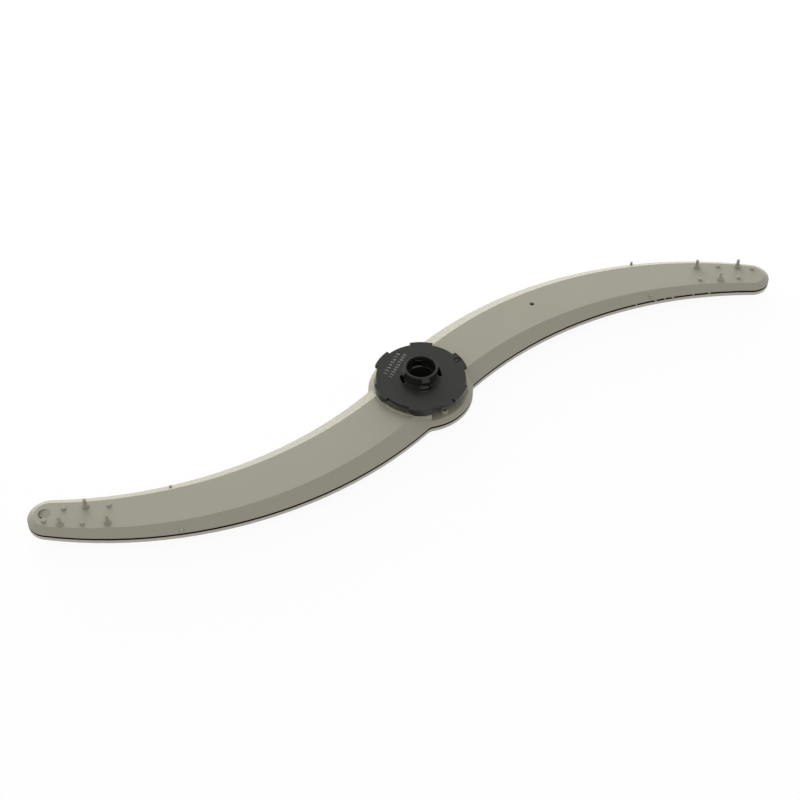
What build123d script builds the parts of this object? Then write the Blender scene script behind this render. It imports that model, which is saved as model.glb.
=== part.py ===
"""Dishwasher spray arm: two welded plastic shells and the black bearing hub that turns in them.

The arm lies on its nozzle face. +Z is up, the origin is on the hub's axis at the level of that
face, and +X points along the longer wing. Everything is in millimetres and degrees.
"""
import os
from math import atan2, cos, degrees, hypot, radians, sin, sqrt, tan

from build123d import *

# Plan of the arm: each wing is bounded by two long arcs and ends in a round tip.
NEAR_ARC_CENTRE = (-171.5, 120.0)
NEAR_ARC_R = 232.0
FAR_ARC_CENTRE = (-208.7, 148.3)
FAR_ARC_R = 233.8
LEFT_TIP_R = 12.18
RIGHT_TIP_R = 11.77        # a finer tip lies further out: this wing reaches 4.5 mm further
WING_ROOT_NEAR_X = 15.0    # where the two arcs stop, out of sight inside the round boss
WING_ROOT_FAR_X = -20.0
BOSS_R = 30.7              # round boss in the middle, as it shows in the seam line
BOSS_NEAR_FILLET = 6.0
BOSS_FAR_FILLET = 3.5

# Section of the shells, measured from the weld plane.
SEAM_Z = 8.0               # height of the weld plane above the nozzle face
WALL = 2.0
BEVEL_SLOPE = 30.4         # the bevelled flanks rise at this angle
HUB_RIM = 1.5              # straight rim above the weld
NOZZLE_RIM = 3.0           # straight rim below the weld
ROOF_MIDDLE = 6.9          # flat back of the wings at the axis
ROOF_FALL = 0.0155         # and how much it drops for each millimetre outwards
SEAM_GROOVE_TALL = 0.6     # each rim's share of the dark line between the shells
SEAM_GROOVE_DEEP = 1.1
REACH = 240.0              # further out than any point of the arm

# Round pocket in the hub-side shell, with its collar.
POCKET_R = 26.0
COLLAR_R = 28.05
COLLAR_TOP = 7.1
COLLAR_EDGE = 0.5          # its top edges are broken by this
BOSS_FLOOR = 3.0           # the flank's bevel meets the floor under the collar's outer side
OPEN_FROM = -77.0          # the collar is left open here, and again half a turn on
OPEN_TO = -6.0
COLLAR_END_GAP = 2.0       # degrees from the opening's sides to the middle of a round end
HOLLOW_MARGIN = 6.0        # degrees of full wall beside each opening
HALF_TURNS = (0, 180)
NECK_HOLE_R = 15.3
FLOOR_LIP_R = 18.5         # under the floor a lip is left around that opening for the hub's hooks
FLOOR_PEG_AT = (13.5, -20.6)
FLOOR_PEG_R = 2.0
FLOOR_PEG_TOP = 5.2
FLOOR_PEG_BORE_R = 1.15

# Small things moulded on the back of the wings.
LEFT_PINS = [(-196.0, -103.9), (-183.6, -92.0), (-170.2, -103.1)]
LEFT_STUDS = [(-204.9, -102.2), (-195.2, -93.6), (-183.8, -104.0), (-170.8, -91.5)]
WING_OFFSET = (4.3, 0.3)   # the right wing repeats the left one, half a turn on and shifted by this
PIN_FOOT_R = 2.15
PIN_FOOT_TOP_R = 1.9
PIN_FOOT_TALL = 1.4
PIN_R = 1.15
PIN_TIP_R = 0.9
PIN_TALL = 5.6
STUD_R = 1.5
STUD_TOP_R = 1.2
STUD_TALL = 1.1
LEFT_EDGE_POSTS = [(-138.8, -77.3), (-129.8, -108.0)]
EDGE_POST_R = 0.8
EDGE_POST_TOP = 3.9
BACK_JET_AT = (68.8, 67.8)
BACK_JET_R = 1.4
SCOOP_AT = (-205.4, -97.1)
SCOOP_R = 3.5
SCOOP_DEEP = 1.7
SCOOP_HEADING = 218.0      # direction of the scoop's deep end
SCOOP_JET_R = 0.8
SCOOP_JET_OUT = 2.9        # the jet opens this far from the scoop's centre, in its deep end

# Spray jets in the nozzle face, given by their distance along X.
LEFT_JETS_X = [-48.0, -90.0, -130.0, -166.0, -198.0]
RIGHT_JETS_X = [66.0, 109.0, 149.0, 184.0, 208.0]
DISH_R = 4.6
DISH_FLOOR_R = 3.4
DISH_DEEP = 0.8
JET_LONG = 6.4
JET_WIDE = 2.2
JET_LEAN = 25.0            # each slot is turned this much from the line to the axis

# Bearing hub, a single moulding.
BORE_R = 8.4
TUBE_R = 9.85
TUBE_TOP = 19.7
RELIEF_R = 9.0             # the bore is relieved behind the snap windows
RELIEF_FROM = 10.8
RELIEF_TO = 16.2
STEP_R = 10.5
STEP_TALL = 0.5
PLATE_TOP = 12.1
PLATE_UNDER = 10.4
PLATE_R = 26.0
LOBE_R = 28.0
LOBE_ROOT_R = 23.5
LOBE_UNDER = 7.4
LOBE_ARC = 28.6
LOBE_FIRST = 29.0
LOBE_COUNT = 6
LOBE_FILLET = 0.5
LOBE_RAMP_LONG = 3.6       # both lower corners of a lobe are cut off, this long
LOBE_RAMP_TALL = 2.8       # and this tall
NECK_R = 15.0
NECK_BORE_R = 12.6
NECK_UNDER = -2.4
HOOK_R = 16.9
HOOK_TOP = -0.6
HOOK_ARC = 34.0
HOOK_SLIT = 1.2
HOOK_SLIT_TOP = 6.5
CATCH_R = 11.3
CATCH_TOP = 19.2
CATCH_LEAD = 17.2
CATCH_ARC = 25.0
CATCH_FIRST = 15.0
SNAP_COUNT = 4
WINDOW_ARC = 34.0
WINDOW_R = 12.2
RIM_EDGE = 0.45            # the tube's rim is broken by this on both sides
GATE_AT = (21.7, 12.8)
GATE_R = 2.4
GATE_DEEP = 0.5
GATE_BAR = (3.4, 1.0)      # stub left in the gate's recess
GATE_BAR_TALL = 0.35
GATE_BAR_HEADING = 40.0

CATCH_ROOT = 0.4           # snap parts reach this far into the wall that carries them
HOOK_LEAD = 0.6            # straight part of a hook's outer face
SLIT_MARGIN = 4.0          # degrees between a hook's end and the middle of its slit
CUT_MARGIN = 1.0           # cuts run this far past the face that they open
ROOT = 0.5                 # pins and studs reach this far into the back
SAME = 0.1                 # distances closer than this count as equal

BEVEL_RISE = tan(radians(BEVEL_SLOPE))
INNER_RIM_DROP = WALL * (1 / cos(radians(BEVEL_SLOPE)) - BEVEL_RISE)


def lowest_meet(centre_a, radius_a, centre_b, radius_b):
    """Where two circles cross, the lower of the two points."""
    across = (centre_b[0] - centre_a[0], centre_b[1] - centre_a[1])
    gap = hypot(*across)
    along = (radius_a**2 - radius_b**2 + gap**2) / (2 * gap)
    aside = sqrt(radius_a**2 - along**2)
    points = [
        (
            centre_a[0] + (along * across[0] - side * aside * across[1]) / gap,
            centre_a[1] + (along * across[1] + side * aside * across[0]) / gap,
        )
        for side in (1, -1)
    ]
    return min(points, key=lambda point: point[1])


def below(centre, radius, x):
    """The point of a circle's lower half at this x."""
    return (x, centre[1] - sqrt(radius**2 - (x - centre[0]) ** 2))


def bearing(centre, point):
    """Direction from a centre to a point, in degrees."""
    return degrees(atan2(point[1] - centre[1], point[0] - centre[0]))


def wing_plan(tip_r, inset):
    """Plan of the left wing: concave far arc, round tip, convex near arc, closed inside the boss."""
    tip = lowest_meet(NEAR_ARC_CENTRE, NEAR_ARC_R - tip_r, FAR_ARC_CENTRE, FAR_ARC_R + tip_r)
    near_r = NEAR_ARC_R - inset
    far_r = FAR_ARC_R + inset
    near_root = below(NEAR_ARC_CENTRE, near_r, WING_ROOT_NEAR_X)
    far_root = below(FAR_ARC_CENTRE, far_r, WING_ROOT_FAR_X)
    near_start = bearing(NEAR_ARC_CENTRE, near_root)
    near_end = bearing(NEAR_ARC_CENTRE, tip)
    far_start = bearing(FAR_ARC_CENTRE, tip)
    far_end = bearing(FAR_ARC_CENTRE, far_root)
    with BuildSketch() as plan:
        with BuildLine():
            CenterArc(FAR_ARC_CENTRE, far_r, far_end, far_start - far_end)
            CenterArc(tip, tip_r - inset, far_start + 180, near_end + 180 - far_start)
            CenterArc(NEAR_ARC_CENTRE, near_r, near_end, near_start - near_end)
            Line(near_root, far_root)
        make_face()
    return plan.sketch


def boss_corners(sketch, boss_r, on_near_side):
    """The corners where the wings' arcs run into the round boss."""
    return [
        corner
        for corner in sketch.vertices()
        if abs(hypot(corner.X, corner.Y) - boss_r) < SAME
        and (abs(corner.Y) > abs(corner.X)) == on_near_side
    ]


def arm_plan(inset=0):
    """Plan of the whole arm, drawn inwards of its rim by inset: every arc keeps its centre."""
    boss_r = BOSS_R - inset
    with BuildSketch() as plan:
        add(wing_plan(LEFT_TIP_R, inset))
        add(wing_plan(RIGHT_TIP_R, inset), rotation=180)
        Circle(boss_r)
        fillet(boss_corners(plan, boss_r, True), BOSS_NEAR_FILLET + inset)
        fillet(boss_corners(plan, boss_r, False), BOSS_FAR_FILLET + inset)
    return plan.sketch


def roof(x):
    """Height of the wings' flat back above the weld plane."""
    return ROOF_MIDDLE - ROOF_FALL * abs(x)


def above_roof(drop):
    """Everything above the two sloping backs, lowered by drop, as a block to cut with."""
    with BuildPart() as block:
        with BuildSketch(Plane.XZ):
            with BuildLine():
                Polyline(
                    (-REACH, roof(REACH) - drop),
                    (0, ROOF_MIDDLE - drop),
                    (REACH, roof(REACH) - drop),
                    (REACH, 2 * ROOF_MIDDLE),
                    (-REACH, 2 * ROOF_MIDDLE),
                    close=True,
                )
            make_face()
        extrude(amount=REACH, both=True)
    return block.part


def bevelled_block(inset, rim, crown):
    """Arm-shaped block that stands on the weld plane: a straight rim, then the flanks' bevel."""
    with BuildPart() as block:
        with BuildSketch():
            add(arm_plan(inset))
        extrude(amount=crown)
        top = block.faces().sort_by(Axis.Z)[-1]
        chamfer(top.edges(), (crown - rim) / BEVEL_RISE, crown - rim, reference=top)
    return block.part


def wedge(start, end, radius):
    """A slice of a disc about the axis, from one direction to another."""
    with BuildSketch() as slice_plan:
        with BuildLine():
            rim = CenterArc((0, 0), radius, start, end - start)
            Line((0, 0), rim @ 0)
            Line(rim @ 1, (0, 0))
        make_face()
    return slice_plan.sketch


def ring_piece(points, start, arc):
    """A profile of (radius, height) points turned about the axis, from start over an arc."""
    with BuildPart() as piece:
        with BuildSketch(Plane.XZ):
            with BuildLine():
                Polyline(*points, close=True)
            make_face()
        revolve(axis=Axis.Z, revolution_arc=arc)
    return piece.part.rotate(Axis.Z, start)


def repeated(points):
    """Places on the left wing and their twins on the right one."""
    return points + [(WING_OFFSET[0] - x, WING_OFFSET[1] - y) for x, y in points]


hub_side_block = bevelled_block(0, HUB_RIM, ROOF_MIDDLE)
nozzle_side_block = mirror(bevelled_block(0, NOZZLE_RIM, SEAM_Z), about=Plane.XY)
nozzle_side_hollow = mirror(
    bevelled_block(WALL, NOZZLE_RIM - INNER_RIM_DROP, SEAM_Z - WALL), about=Plane.XY
)

# Water way inside the hub-side shell: everything under the wings, outside the round pocket.
with BuildPart() as hub_side_hollow:
    add(bevelled_block(WALL, HUB_RIM - INNER_RIM_DROP, ROOF_MIDDLE - WALL))
    add(above_roof(WALL), mode=Mode.SUBTRACT)
    with BuildSketch():
        Circle(COLLAR_R)
        for turn in HALF_TURNS:
            add(wedge(OPEN_FROM - HOLLOW_MARGIN, OPEN_TO + HOLLOW_MARGIN, BOSS_R + WALL), rotation=turn)
    extrude(amount=ROOF_MIDDLE, mode=Mode.SUBTRACT)

# Pin at a wing's end, standing on a round foot.
with BuildPart() as tip_pin:
    with Locations((0, 0, (PIN_FOOT_TALL - ROOT) / 2)):
        Cone(PIN_FOOT_R, PIN_FOOT_TOP_R, PIN_FOOT_TALL + ROOT)
    with Locations((0, 0, PIN_TALL / 2)):
        Cone(PIN_R, PIN_TIP_R, PIN_TALL)

# Low round stud beside the pins.
with BuildPart() as tip_stud:
    with Locations((0, 0, (STUD_TALL - ROOT) / 2)):
        Cone(STUD_R, STUD_TOP_R, STUD_TALL + ROOT)

# Scooped recess of the driving jet: a round cut whose floor runs out to nothing at one side.
with BuildPart() as scoop:
    Cylinder(SCOOP_R, 2 * ROOF_MIDDLE)
    split(bisect_by=Plane((SCOOP_R, 0, 0), z_dir=(-SCOOP_DEEP, 0, 2 * SCOOP_R)), keep=Keep.TOP)

# Collar of the pocket: two arcs with round ends and broken top edges.
with BuildPart() as collar:
    with BuildSketch(Plane.XY.offset(BOSS_FLOOR)):
        for turn in HALF_TURNS:
            arc = CenterArc(
                (0, 0),
                (POCKET_R + COLLAR_R) / 2,
                OPEN_TO + COLLAR_END_GAP + turn,
                180 + OPEN_FROM - OPEN_TO - 2 * COLLAR_END_GAP,
                mode=Mode.PRIVATE,
            )
            SlotArc(arc, COLLAR_R - POCKET_R)
    extrude(amount=COLLAR_TOP - BOSS_FLOOR)
    chamfer(collar.edges().group_by(Axis.Z)[-1], COLLAR_EDGE)

# Hollow peg on the boss floor.
with BuildPart() as floor_peg:
    Cylinder(FLOOR_PEG_R, FLOOR_PEG_TOP - BOSS_FLOOR)
    Cylinder(FLOOR_PEG_BORE_R, FLOOR_PEG_TOP, mode=Mode.SUBTRACT)

# Shell on the hub side: bevelled wings with a pocket for the hub between them.
with BuildPart() as hub_side_shell:
    add(hub_side_block)
    add(above_roof(0), mode=Mode.SUBTRACT)
    add(hub_side_hollow.part, mode=Mode.SUBTRACT)
    with BuildSketch(Plane.XY.offset(BOSS_FLOOR)):
        Circle(POCKET_R)
        for turn in HALF_TURNS:
            add(wedge(OPEN_FROM, OPEN_TO, BOSS_R + WALL), rotation=turn)
    extrude(amount=ROOF_MIDDLE, mode=Mode.SUBTRACT)
    # The collar stands free where the flank falls away.
    add(collar)
    # Opening that the hub's neck turns in, and the hollow under the boss floor around its lip.
    with BuildSketch():
        Circle(NECK_HOLE_R)
    extrude(amount=BOSS_FLOOR, mode=Mode.SUBTRACT)
    with BuildSketch():
        Circle(BOSS_R - 2 * WALL)
        Circle(FLOOR_LIP_R, mode=Mode.SUBTRACT)
    extrude(amount=BOSS_FLOOR - WALL, mode=Mode.SUBTRACT)
    # Groove that leaves a dark line between the two rims.
    with BuildSketch():
        add(arm_plan())
        add(arm_plan(SEAM_GROOVE_DEEP), mode=Mode.SUBTRACT)
    extrude(amount=SEAM_GROOVE_TALL, mode=Mode.SUBTRACT)
    # Pegs on the boss floor, pins, studs and edge posts on the wings.
    with PolarLocations(0, 2):
        with Locations((*FLOOR_PEG_AT, (BOSS_FLOOR + FLOOR_PEG_TOP) / 2)):
            add(floor_peg)
    with Locations(*[(x, y, roof(x)) for x, y in repeated(LEFT_PINS)]):
        add(tip_pin.part)
    with Locations(*[(x, y, roof(x)) for x, y in repeated(LEFT_STUDS)]):
        add(tip_stud.part)
    with Locations(*[(x, y, EDGE_POST_TOP / 2 + HUB_RIM / 2) for x, y in repeated(LEFT_EDGE_POSTS)]):
        Cylinder(EDGE_POST_R, EDGE_POST_TOP - HUB_RIM)
    # Back jet in the longer wing, driving jet and its scoop at the other tip.
    with Locations((*BACK_JET_AT, roof(BACK_JET_AT[0]) - WALL / 2)):
        Cylinder(BACK_JET_R, 2 * WALL, mode=Mode.SUBTRACT)
    with Locations(Location((*SCOOP_AT, roof(SCOOP_AT[0])), (0, 0, SCOOP_HEADING))):
        add(scoop.part, rotation=(0, 0, 180), mode=Mode.SUBTRACT)
        with Locations((SCOOP_JET_OUT, 0, -WALL)):
            Cylinder(SCOOP_JET_R, 3 * WALL, mode=Mode.SUBTRACT)

# Shell on the nozzle side: the same outline turned over, a flat face with the spray jets in it.
with BuildPart() as nozzle_side_shell:
    add(nozzle_side_block)
    add(nozzle_side_hollow, mode=Mode.SUBTRACT)
    # This rim's share of the groove between the shells.
    with BuildSketch():
        add(arm_plan())
        add(arm_plan(SEAM_GROOVE_DEEP), mode=Mode.SUBTRACT)
    extrude(amount=-SEAM_GROOVE_TALL, mode=Mode.SUBTRACT)
    for x in LEFT_JETS_X + RIGHT_JETS_X:
        side = -1 if x > 0 else 1
        near_y = below(NEAR_ARC_CENTRE, NEAR_ARC_R, side * x)[1]
        far_y = below(FAR_ARC_CENTRE, FAR_ARC_R, side * x)[1]
        jet_at = (x, side * (near_y + far_y) / 2)
        with Locations(Location((*jet_at, -SEAM_Z), (0, 0, bearing((0, 0), jet_at) + JET_LEAN))):
            with Locations((0, 0, DISH_DEEP / 2)):
                Cone(DISH_R, DISH_FLOOR_R, DISH_DEEP, mode=Mode.SUBTRACT)
            Box(JET_LONG - JET_WIDE, JET_WIDE, 3 * WALL, mode=Mode.SUBTRACT)
            with GridLocations(JET_LONG - JET_WIDE, 1, 2, 1):
                Cylinder(JET_WIDE / 2, 3 * WALL, mode=Mode.SUBTRACT)

# Snap parts of the hub: outward catches on its tube, inward-flexing hooks on its neck.
catch = ring_piece(
    [
        (TUBE_R - CATCH_ROOT, CATCH_TOP),
        (TUBE_R, CATCH_TOP),
        (CATCH_R, CATCH_LEAD),
        (CATCH_R, RELIEF_TO),
        (TUBE_R - CATCH_ROOT, RELIEF_TO),
    ],
    -CATCH_ARC / 2,
    CATCH_ARC,
)
tube_window = ring_piece(
    [
        (BORE_R - CUT_MARGIN, RELIEF_FROM),
        (STEP_R + SAME, RELIEF_FROM),
        (STEP_R + SAME, RELIEF_TO),
        (BORE_R - CUT_MARGIN, RELIEF_TO),
    ],
    -WINDOW_ARC / 2,
    WINDOW_ARC,
)
plate_window = ring_piece(
    [
        (TUBE_R, PLATE_UNDER - CUT_MARGIN),
        (WINDOW_R, PLATE_UNDER - CUT_MARGIN),
        (WINDOW_R, PLATE_TOP + CUT_MARGIN),
        (TUBE_R, PLATE_TOP + CUT_MARGIN),
    ],
    -WINDOW_ARC / 2,
    WINDOW_ARC,
)
hook = ring_piece(
    [
        (NECK_R - CATCH_ROOT, HOOK_TOP),
        (HOOK_R, HOOK_TOP),
        (HOOK_R, HOOK_TOP - HOOK_LEAD),
        (NECK_R, NECK_UNDER),
        (NECK_R - CATCH_ROOT, NECK_UNDER),
    ],
    -HOOK_ARC / 2,
    HOOK_ARC,
)

# Grip lobe: a ring piece with round corners, whose lower corners are ramped off.
lobe_half = LOBE_R * sin(radians(LOBE_ARC / 2))
with BuildPart() as lobe:
    add(
        ring_piece(
            [
                (LOBE_ROOT_R, LOBE_UNDER),
                (LOBE_R, LOBE_UNDER),
                (LOBE_R, PLATE_TOP),
                (LOBE_ROOT_R, PLATE_TOP),
            ],
            -LOBE_ARC / 2,
            LOBE_ARC,
        )
    )
    fillet(
        [
            edge
            for edge in lobe.edges().filter_by(Axis.Z)
            if hypot(edge.center().X, edge.center().Y) > LOBE_R - SAME
        ],
        LOBE_FILLET,
    )
    with BuildSketch(Plane.YZ):
        with BuildLine():
            Polyline(
                (-lobe_half - LOBE_RAMP_LONG, LOBE_UNDER + 2 * LOBE_RAMP_TALL),
                (-lobe_half + LOBE_RAMP_LONG, LOBE_UNDER),
                (lobe_half - LOBE_RAMP_LONG, LOBE_UNDER),
                (lobe_half + LOBE_RAMP_LONG, LOBE_UNDER + 2 * LOBE_RAMP_TALL),
                close=True,
            )
        make_face()
    extrude(amount=LOBE_R + CUT_MARGIN, mode=Mode.INTERSECT)

# Bearing hub: disc with six grip lobes, tube above it, snap neck below it, bore right through.
with BuildPart() as bearing_hub:
    with BuildSketch(Plane.XZ):
        with BuildLine():
            Polyline(
                (BORE_R, NECK_UNDER),
                (TUBE_R, NECK_UNDER),
                (TUBE_R, PLATE_UNDER),
                (NECK_BORE_R, PLATE_UNDER),
                (NECK_BORE_R, NECK_UNDER),
                (NECK_R, NECK_UNDER),
                (NECK_R, PLATE_UNDER),
                (PLATE_R, PLATE_UNDER),
                (PLATE_R, PLATE_TOP),
                (STEP_R, PLATE_TOP),
                (STEP_R, PLATE_TOP + STEP_TALL),
                (TUBE_R, PLATE_TOP + STEP_TALL),
                (TUBE_R, TUBE_TOP),
                (BORE_R, TUBE_TOP),
                (BORE_R, RELIEF_TO),
                (RELIEF_R, RELIEF_TO - (RELIEF_R - BORE_R)),
                (RELIEF_R, RELIEF_FROM),
                (BORE_R, RELIEF_FROM),
                close=True,
            )
        make_face()
    revolve(axis=Axis.Z)
    chamfer(bearing_hub.edges().group_by(Axis.Z)[-1], RIM_EDGE)
    with PolarLocations(0, LOBE_COUNT, start_angle=LOBE_FIRST):
        add(lobe)
    with PolarLocations(0, SNAP_COUNT, start_angle=CATCH_FIRST):
        add(catch)
        add(tube_window, mode=Mode.SUBTRACT)
        add(plate_window, mode=Mode.SUBTRACT)
        add(hook)
        # Slits on both sides of each hook let it flex through the opening.
        slit_arc = HOOK_ARC + 2 * SLIT_MARGIN
        slit_wide = NECK_R - NECK_BORE_R + 2 * CUT_MARGIN
        with PolarLocations(0, 2, start_angle=-slit_arc / 2, angular_range=slit_arc, endpoint=True):
            with Locations(((NECK_R + NECK_BORE_R) / 2, 0, (HOOK_SLIT_TOP + NECK_UNDER) / 2)):
                Box(slit_wide, HOOK_SLIT, HOOK_SLIT_TOP - NECK_UNDER, mode=Mode.SUBTRACT)
    # Round recess of the moulding gate, with the stub left standing in it.
    with Locations(Location((*GATE_AT, PLATE_TOP), (0, 0, GATE_BAR_HEADING))):
        Cylinder(GATE_R, 2 * GATE_DEEP, mode=Mode.SUBTRACT)
        with Locations((0, 0, -GATE_DEEP)):
            Box(*GATE_BAR, 2 * GATE_BAR_TALL)

os.makedirs("parts", exist_ok=True)
for name, piece in (
    ("hub_side_shell", hub_side_shell),
    ("nozzle_side_shell", nozzle_side_shell),
    ("bearing_hub", bearing_hub),
):
    piece.part = piece.part.moved(Location((0, 0, SEAM_Z)))
    piece.part.label = name
    export_step(piece.part, f"parts/{name}.step")
    print(name, round(piece.part.volume), "mm3", piece.part.bounding_box())
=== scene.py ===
# %% [markdown]
# # A dishwasher spray arm, finished for the studio
# The arm lies on its nozzle face with the hub side up. Its construction comes in as a fixed frame:
# two welded shells and the black hub. This file gives those pieces their surface, adds the small
# moulded marks that a frame doesn't hold, and sets up a white table, soft light and the camera.

import bmesh
import bpy
import numpy as np
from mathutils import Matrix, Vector


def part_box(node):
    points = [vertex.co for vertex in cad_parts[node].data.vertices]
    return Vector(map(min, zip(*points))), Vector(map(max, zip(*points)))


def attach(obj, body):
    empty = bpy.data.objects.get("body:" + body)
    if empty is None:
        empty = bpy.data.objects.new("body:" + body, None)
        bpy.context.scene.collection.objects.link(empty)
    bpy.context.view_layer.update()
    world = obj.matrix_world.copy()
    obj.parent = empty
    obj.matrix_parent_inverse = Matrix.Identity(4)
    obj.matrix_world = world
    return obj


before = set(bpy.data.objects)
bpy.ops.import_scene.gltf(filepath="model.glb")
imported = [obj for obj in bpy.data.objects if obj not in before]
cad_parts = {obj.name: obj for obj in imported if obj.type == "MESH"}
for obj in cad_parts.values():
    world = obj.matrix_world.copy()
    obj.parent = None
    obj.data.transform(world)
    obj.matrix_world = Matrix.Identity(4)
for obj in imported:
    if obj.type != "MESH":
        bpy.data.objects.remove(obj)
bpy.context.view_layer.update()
MM = 0.001

# %% [markdown]
# ## Heights that later cells share
# The frame says how high things are, so nothing is typed in twice: the weld line lies on top of the
# nozzle-side shell, and the disc's face is found from the top of the hub's tube.

# %% Heights
SEAM_Z = float(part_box("nozzle_side_shell")[1][2])
DISC_BELOW_TUBE = 7.6 * MM
DISC_Z = float(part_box("bearing_hub")[1][2]) - DISC_BELOW_TUBE
print("weld line at", round(SEAM_Z / MM, 2), "mm, disc at", round(DISC_Z / MM, 2), "mm")

# %% [markdown]
# ## Camera
# The place, direction and lens come from fitting the arm's circles and level edges to the picture:
# a short telephoto lens from about 94 cm, looking down at the table by a little over 46 degrees.

# %% Camera
CAMERA_PLACE = (-12.1 * MM, -653.5 * MM, 677.1 * MM + SEAM_Z)
CAMERA_DOWN = 46.37
LENS = 72.17
SENSOR = 36.0
camera_data = bpy.data.cameras.new("camera")
camera_data.lens = LENS
camera_data.sensor_width = SENSOR
camera = bpy.data.objects.new("camera", camera_data)
bpy.context.scene.collection.objects.link(camera)
camera.location = CAMERA_PLACE
camera.rotation_euler = (np.radians(90 - CAMERA_DOWN), 0, 0)
bpy.context.scene.camera = camera
print("camera looks down by", CAMERA_DOWN, "degrees through", LENS, "mm")

# %% [markdown]
# ## Helpers for materials
# A colour is written as a paint maker would give it, as an sRGB hex value, and turned to linear
# light here. One helper adds a node with its settings and its links.

# %% Material helpers


def linear(hex_code):
    """sRGB hex to linear red, green, blue: the standard curve, a straight foot and a 2.4 power."""
    srgb = np.array([int(hex_code[i : i + 2], 16) for i in (0, 2, 4)]) / 255
    rgb = np.where(srgb <= 0.04045, srgb / 12.92, ((srgb + 0.055) / 1.055) ** 2.4)
    return (*rgb.tolist(), 1.0)


def node(tree, kind, settings=None, **sockets):
    """Adds a node. Settings are attributes. Sockets go by name with _ for a space, or i and a number."""
    made = tree.nodes.new("ShaderNode" + kind)
    for key, value in (settings or {}).items():
        setattr(made, key, value)
    for key, value in sockets.items():
        by_number = key[0] == "i" and key[1:].isdigit()
        socket = made.inputs[int(key[1:]) if by_number else key.replace("_", " ")]
        if isinstance(value, bpy.types.NodeSocket):
            tree.links.new(value, socket)
        else:
            socket.default_value = value
    return made


def new_material(name):
    """An empty node material: the material, its tree and its output node."""
    made = bpy.data.materials.new(name)
    made.use_nodes = True
    made.node_tree.nodes.clear()
    return made, made.node_tree, made.node_tree.nodes.new("ShaderNodeOutputMaterial")


print("the middle grey BCBCBC is", round(linear("BCBCBC")[0], 2), "in linear light")

# %% [markdown]
# ## How a moulding looks
# All three pieces are injection moulded from spark-eroded tools, and that gives one kind of skin in
# two plastics. Slow clouds show where the melt flowed. A fine grain, under a tenth of a millimetre
# on the real part, is drawn at 0.35 mm, as coarse as it needs to be to show at this distance. The
# tool's polish changes a little from place to place, so the roughness has its own slow noise. Every
# edge is round by a few tenths, which the Bevel node bends into the shading.

# %% Moulded plastic
GRAIN_MM = 0.35
GRAIN_DEEP_MM = 0.02
FLOW_MM = 38.0
FLOW_DETAIL = 3.0
FLOW_FINE_SHARE = 0.55
POLISH_MM = 9.0
FINE_DETAIL = 2.0
NOISE_SPREAD = (0.3, 0.7)
EDGE_ROUND_MM = 0.3
EDGE_SAMPLES = 6


def moulded(name, colour, cloud, roughness, grain_strength, ior, tint=None):
    """Two close tones in slow clouds, a roughness between two values, grain and soft edges.

    Tint, where given, takes the tree, the place and the tone, and gives a changed tone.
    """
    made, tree, out = new_material(name)
    place = node(tree, "TexCoord").outputs["Object"]
    flow = node(
        tree, "TexNoise", Vector=place, Scale=1 / (FLOW_MM * MM), Detail=FLOW_DETAIL,
        Roughness=FLOW_FINE_SHARE,
    )
    tone = node(tree, "MixRGB", Fac=flow.outputs["Fac"], Color1=linear(colour), Color2=linear(cloud))
    skin_tone = tint(tree, place, tone.outputs["Color"]) if tint else tone.outputs["Color"]
    polish = node(tree, "TexNoise", Vector=place, Scale=1 / (POLISH_MM * MM), Detail=FINE_DETAIL)
    rough = node(
        tree, "MapRange", Value=polish.outputs["Fac"], From_Min=NOISE_SPREAD[0],
        From_Max=NOISE_SPREAD[1], To_Min=roughness[0], To_Max=roughness[1],
    )
    grain = node(tree, "TexNoise", Vector=place, Scale=1 / (GRAIN_MM * MM), Detail=FINE_DETAIL)
    round_edge = node(tree, "Bevel", {"samples": EDGE_SAMPLES}, Radius=EDGE_ROUND_MM * MM)
    bump = node(
        tree, "Bump", Height=grain.outputs["Fac"], Strength=grain_strength,
        Distance=GRAIN_DEEP_MM * MM, Normal=round_edge.outputs["Normal"],
    )
    skin = node(
        tree, "BsdfPrincipled", Base_Color=skin_tone, Roughness=rough.outputs["Result"],
        IOR=ior, Normal=bump.outputs["Normal"],
    )
    tree.links.new(skin.outputs["BSDF"], out.inputs["Surface"])
    return made


print("grain", GRAIN_MM, "mm, clouds", FLOW_MM, "mm, edges round by", EDGE_ROUND_MM, "mm")

# %% [markdown]
# ## Grey polypropylene of the shells
# Both shells are warm grey polypropylene, the plastic that stands hot detergent. It is satin: seen
# from above it shows its own colour, and where a flank turns away from the eye it takes on the white
# of the room. The groove between their rims and the lips beside it are painted dark brown by height
# alone: painted shade, standing in for the shadow deep in the weld gap. The nozzle-side shell is
# drawn paler than the hub side: painted light, standing in for the light the white table throws up
# onto its rim.

# %% Shell materials
HUB_SIDE_TONES = ("9D9A8B", "989586")
# Painted light: these tones are paler than the hub side's to stand in for light thrown up by the table.
NOZZLE_SIDE_LIT_TONES = ("BDB6AA", "B8B1A5")
SHELL_ROUGHNESS = (0.3, 0.36)
SHELL_GRAIN = 0.15
SHELL_IOR = 1.49
# Painted shade: the seam's groove and lips are darkened in colour to stand in for the weld gap's shadow.
SEAM_SHADE = "1B140E"
SEAM_SHADE_HALF_MM = 0.85
SEAM_SHADE_FADE_MM = 0.22


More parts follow.
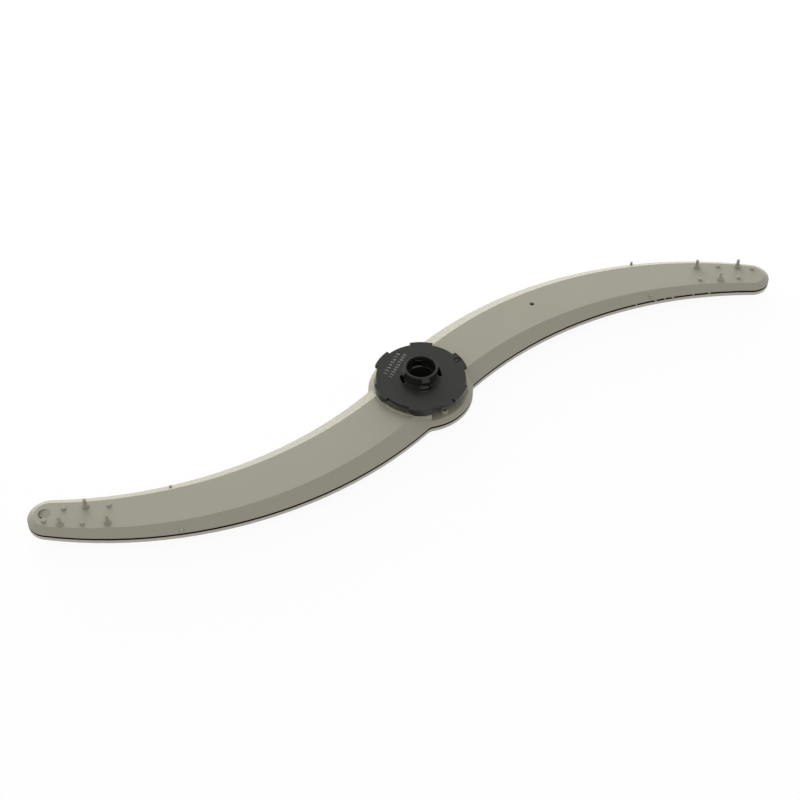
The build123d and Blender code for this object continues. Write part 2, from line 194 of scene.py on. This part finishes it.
def painted_groove_shade(tree, place, tone):
    """The tone, darkened to a painted seam shade near the seam's height, soft-edged above and below."""
    height = node(tree, "SeparateXYZ", Vector=place).outputs["Z"]
    above = node(tree, "Math", {"operation": "SUBTRACT"}, i0=height, i1=SEAM_Z).outputs[0]
    away = node(tree, "Math", {"operation": "ABSOLUTE"}, i0=above).outputs[0]
    share = node(
        tree, "MapRange", Value=away, From_Min=(SEAM_SHADE_HALF_MM - SEAM_SHADE_FADE_MM) * MM,
        From_Max=SEAM_SHADE_HALF_MM * MM, To_Min=1.0, To_Max=0.0,
    )
    mixed = node(tree, "MixRGB", Fac=share.outputs["Result"], Color1=tone, Color2=linear(SEAM_SHADE))
    return mixed.outputs["Color"]


hub_side_plastic, nozzle_side_bounce_lit_plastic = (
    moulded(name, *tones, SHELL_ROUGHNESS, SHELL_GRAIN, SHELL_IOR, painted_groove_shade)
    for name, tones in (
        ("moulded grey polypropylene", HUB_SIDE_TONES),
        ("grey polypropylene paled by painted bounce light", NOZZLE_SIDE_LIT_TONES),
    )
)
print("made", hub_side_plastic.name, "and", nozzle_side_bounce_lit_plastic.name)

# %% [markdown]
# ## Black glass-filled plastic of the hub
# The hub runs in water on a spigot, so it is moulded in a stiff glass-filled grade. The glass comes
# close under the skin and leaves it duller than the shells', and never quite black.

# %% Hub material
HUB_TONES = ("1C1C1A", "20201D")
HUB_ROUGHNESS = (0.34, 0.44)
HUB_GRAIN = 0.5
HUB_IOR = 1.42
hub_plastic = moulded("black glass-filled plastic", *HUB_TONES, HUB_ROUGHNESS, HUB_GRAIN, HUB_IOR)
print("made", hub_plastic.name)

# %% [markdown]
# ## The frame's pieces get their plastic
# A frame piece keeps its mesh, and only what fills its material slot changes.

# %% Dress the frame
for name, material in (
    ("hub_side_shell", hub_side_plastic),
    ("nozzle_side_shell", nozzle_side_bounce_lit_plastic),
    ("bearing_hub", hub_plastic),
):
    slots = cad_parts[name].data.materials
    slots.clear()
    slots.append(material)
    print(name, "is", material.name)

# %% [markdown]
# ## From arrays to pieces
# Each new piece is worked out as arrays of points. This helper joins several closed surfaces into one
# mesh, merges the points that meet at poles and seams, and turns all faces outwards.

# %% Piece helper
MERGE_MM = 0.002


def new_piece(name, parts, material, body, smooth):
    """One mesh object from (points, faces) pairs. Its place is in its mesh, and it rides on a body."""
    starts = np.cumsum([0] + [len(points) for points, _ in parts[:-1]])
    points = np.concatenate([points for points, _ in parts])
    faces = np.concatenate([faces + start for (_, faces), start in zip(parts, starts)])
    mesh = bpy.data.meshes.new(name)
    mesh.from_pydata(points.tolist(), [], faces.tolist())
    work = bmesh.new()
    work.from_mesh(mesh)
    bmesh.ops.remove_doubles(work, verts=work.verts, dist=MERGE_MM * MM)
    bmesh.ops.recalc_face_normals(work, faces=work.faces)
    work.to_mesh(mesh)
    work.free()
    shade = mesh.shade_smooth if smooth else mesh.shade_flat
    shade()
    mesh.materials.append(material)
    made = bpy.data.objects.new(name, mesh)
    bpy.context.scene.collection.objects.link(made)
    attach(made, body)
    print(name, len(mesh.polygons), "faces")


print("points closer than", MERGE_MM, "mm are merged")

# %% [markdown]
# ## Plain numbers on the disc
# The real disc carries two rows of small raised figures from its tool. Here they are plain counting
# numbers. Each figure starts as a text curve in the built-in font, because a font already holds good
# outlines. It is made a mesh while it lies at the origin, and only then are its points turned along
# the row and moved to their place. Their tone is a painted highlight: they are coloured much lighter
# than the disc to stand in for the light their tops catch.

# %% Numbers
FIGURE_SIZE_MM = 3.0
FIGURE_BOLD_MM = 0.05
FIGURE_TALL_MM = 0.2
FIGURE_CURVE_STEPS = 3
# Painted highlight: the figures are coloured light grey, much lighter than the black disc.
FIGURE_HIGHLIGHT_TONES = ("85857F", "7A7A74")
OUTER_ROW = ("12345678", (-20.6, 1.7), (-13.1, 17.4))
INNER_ROW = ("1234567890", (-17.6, -1.2), (-9.3, 16.6))
figure_highlight_plastic = moulded("glass-filled plastic with painted highlight", *FIGURE_HIGHLIGHT_TONES, HUB_ROUGHNESS, HUB_GRAIN, HUB_IOR)


def figure_mesh(figure):
    """A figure's points and triangles in metres, centred on the origin, as thick below as above."""
    curve = bpy.data.curves.new("figure", "FONT")
    curve.body = figure
    curve.size = FIGURE_SIZE_MM * MM
    curve.extrude = FIGURE_TALL_MM * MM
    curve.offset = FIGURE_BOLD_MM * MM
    curve.resolution_u = FIGURE_CURVE_STEPS
    curve.align_x = "CENTER"
    curve.align_y = "CENTER"
    holder = bpy.data.objects.new("figure", curve)
    mesh = bpy.data.meshes.new_from_object(holder)
    points = np.empty(3 * len(mesh.vertices))
    mesh.vertices.foreach_get("co", points)
    mesh.calc_loop_triangles()
    triangles = np.empty(3 * len(mesh.loop_triangles), dtype=int)
    mesh.loop_triangles.foreach_get("vertices", triangles)
    bpy.data.objects.remove(holder)
    return points.reshape(-1, 3), triangles.reshape(-1, 3)


def figure_row(text, first, last):
    """Figures at even steps from first to last. The line's heading turns each, then its step moves it."""
    across, up = np.subtract(last, first)
    heading = np.arctan2(up, across)
    cos, sin = np.cos(heading), np.sin(heading)
    turn = np.array([(cos, sin, 0), (-sin, cos, 0), (0, 0, 1)])
    row = []
    for figure, (x, y) in zip(text, np.linspace(first, last, len(text))):
        points, triangles = figure_mesh(figure)
        row.append((points @ turn + (x * MM, y * MM, DISC_Z), triangles))
    return row


figures = figure_row(*OUTER_ROW) + figure_row(*INNER_ROW)
new_piece("disc_figures", figures, figure_highlight_plastic, "hub", smooth=False)

# %% [markdown]
# ## Weld beads in the seam
# Where the hot plate pressed a little too much melt out, small beads bridge the groove between the
# shells on the near side of the longer wing. A bead is an ellipsoid, drawn on a grid of two angles:
# around its long axis and from pole to pole. It sits on the wing's outline, which is an arc here.

# %% Weld beads
OUTLINE_CENTRE_MM = (208.7, -148.3)
OUTLINE_R_MM = 233.8
# Each bead's place along X and its length.
BEADS_MM = ((134.2, 1.1), (146.5, 1.5), (152.4, 0.9), (157.5, 1.6), (170.5, 1.2), (180.6, 1.4))
BEAD_OUT_MM = 0.45
BEAD_TALL_MM = 0.62
BEAD_SUNK_MM = 0.35
BEAD_TONES = ("C2BFB3", "B5B2A6")
ROUND_STEPS = 12


def grid_faces(rows, columns):
    """Quads of a grid whose columns run round and close."""
    row, column = np.meshgrid(np.arange(rows - 1), np.arange(columns), indexing="ij")
    after = (column + 1) % columns
    this_row = row * columns
    next_row = this_row + columns
    corners = (this_row + column, this_row + after, next_row + after, next_row + column)
    return np.stack([corner.ravel() for corner in corners], axis=1)


def ellipsoid(centre, half_axes, heading):
    """Points (a cos u, b sin u cos v, c sin u sin v), turned by a heading about Z, then moved."""
    down = np.linspace(0, np.pi, ROUND_STEPS)
    around = np.linspace(0, 2 * np.pi, ROUND_STEPS, endpoint=False)
    pole, round_angle = np.meshgrid(down, around, indexing="ij")
    along = half_axes[0] * np.cos(pole)
    aside = half_axes[1] * np.sin(pole) * np.cos(round_angle)
    tall = half_axes[2] * np.sin(pole) * np.sin(round_angle)
    x = along * np.cos(heading) - aside * np.sin(heading)
    y = along * np.sin(heading) + aside * np.cos(heading)
    points = np.stack([x, y, tall], axis=-1).reshape(-1, 3) + centre
    return points * MM, grid_faces(ROUND_STEPS, ROUND_STEPS)


def weld_bead(x, long):
    """A bead on the outline's arc at x, sunk a little into it, with its long axis along the arc."""
    rise = np.sqrt(OUTLINE_R_MM**2 - (x - OUTLINE_CENTRE_MM[0]) ** 2)
    outwards = np.array((OUTLINE_CENTRE_MM[0] - x, -rise)) / OUTLINE_R_MM
    heading = np.arctan2(outwards[0], -outwards[1])
    at = np.array((x, OUTLINE_CENTRE_MM[1] + rise)) - outwards * BEAD_SUNK_MM
    return ellipsoid((*at, SEAM_Z / MM), (long / 2, BEAD_OUT_MM, BEAD_TALL_MM), heading)


bead_plastic = moulded("squeezed-out polypropylene", *BEAD_TONES, SHELL_ROUGHNESS, SHELL_GRAIN, SHELL_IOR)
beads = [weld_bead(x, long) for x, long in BEADS_MM]
new_piece("weld_beads", beads, bead_plastic, "arm", smooth=True)

# %% [markdown]
# ## White table and backdrop
# The picture was cut out on white. The table looks white to the camera and in reflections, and is a
# pale, dull surface to the light. A small share of what the camera sees stays that real surface, so
# the arm keeps its soft shadow.

# %% Table
TABLE_HALF = 3.0
WHITE_SHARE = 0.93
PAPER_WHITE = "FBFBF9"


def white_when_looked_at(tree):
    """A socket that is 1 for camera, glossy and transmission rays, and 0 for the others."""
    path = node(tree, "LightPath").outputs
    larger = {"operation": "MAXIMUM"}
    glossy = node(tree, "Math", larger, i0=path["Is Camera Ray"], i1=path["Is Glossy Ray"])
    both = node(tree, "Math", larger, i0=glossy.outputs[0], i1=path["Is Transmission Ray"])
    return both.outputs[0]


def table_material():
    """Mostly even white where it is looked at, paper otherwise."""
    made, tree, out = new_material("white studio paper")
    looked_at = white_when_looked_at(tree)
    share = node(tree, "Math", {"operation": "MULTIPLY"}, i0=looked_at, i1=WHITE_SHARE)
    paper = node(tree, "BsdfDiffuse", Color=linear(PAPER_WHITE))
    white = node(tree, "Emission", Color=(1, 1, 1, 1), Strength=1.0)
    mixed = node(tree, "MixShader", Fac=share.outputs[0], i1=paper.outputs[0], i2=white.outputs[0])
    tree.links.new(mixed.outputs[0], out.inputs["Surface"])
    return made


table_mesh = bpy.data.meshes.new("table")
corners = np.array([(-1, -1, 0), (1, -1, 0), (1, 1, 0), (-1, 1, 0)]) * TABLE_HALF
table_mesh.from_pydata(corners.tolist(), [], [(0, 1, 2, 3)])
table_mesh.materials.append(table_material())
table = bpy.data.objects.new("table", table_mesh)
bpy.context.scene.collection.objects.link(table)
print("table", 2 * TABLE_HALF, "m square")

# %% [markdown]
# ## The white room
# The room's even light is a little under full, because the lamps add the rest. Looked at, or seen in
# a reflection, the room is plain white.

# %% World
ROOM_LIGHT = 0.7
world = bpy.data.worlds.new("white room")
world.use_nodes = True
room = world.node_tree
light_level = node(room, "MapRange", Value=white_when_looked_at(room), To_Min=ROOM_LIGHT, To_Max=1.0)
room.links.new(light_level.outputs["Result"], room.nodes["Background"].inputs["Strength"])
room.nodes["Background"].inputs["Color"].default_value = (1, 1, 1, 1)
bpy.context.scene.world = world
print("room light", ROOM_LIGHT)

# %% [markdown]
# ## Lamps
# Both lamps stand behind the arm, so the flanks that face away from the camera are its brightest
# surfaces and the near flanks its darkest. One is a soft panel, about 21 degrees above the table. The
# other is a long strip at 8 degrees, whose light grazes it. Neither shows in reflections: seen from
# low in front, the strip would wipe out the plastic's own colour, and the room gives the gloss.

# %% Lamps
# Place, width and height in metres, and power in watts.
SOFT_PANEL = ((-0.6, 1.5, 0.62), (1.2, 0.9), 13.6)
LOW_STRIP = ((-0.2, 1.5, 0.2), (2.6, 0.3), 40.0)


def area_light(name, place, size, power):
    """A soft light of some width and height at a place, turned to face the hub."""
    data = bpy.data.lights.new(name, "AREA")
    data.shape = "RECTANGLE"
    data.size, data.size_y = size
    data.energy = power
    lamp = bpy.data.objects.new(name, data)
    bpy.context.scene.collection.objects.link(lamp)
    lamp.visible_glossy = False
    lamp.location = place
    lamp.rotation_euler = (-Vector(place)).to_track_quat("-Z", "Y").to_euler()
    print(name, power, "W")


area_light("soft light behind", *SOFT_PANEL)
area_light("low strip", *LOW_STRIP)

# %% [markdown]
# ## The view transform
# The view transform is the plain one, so colours come out as written.

# %% Finish
bpy.context.scene.view_settings.view_transform = "Standard"
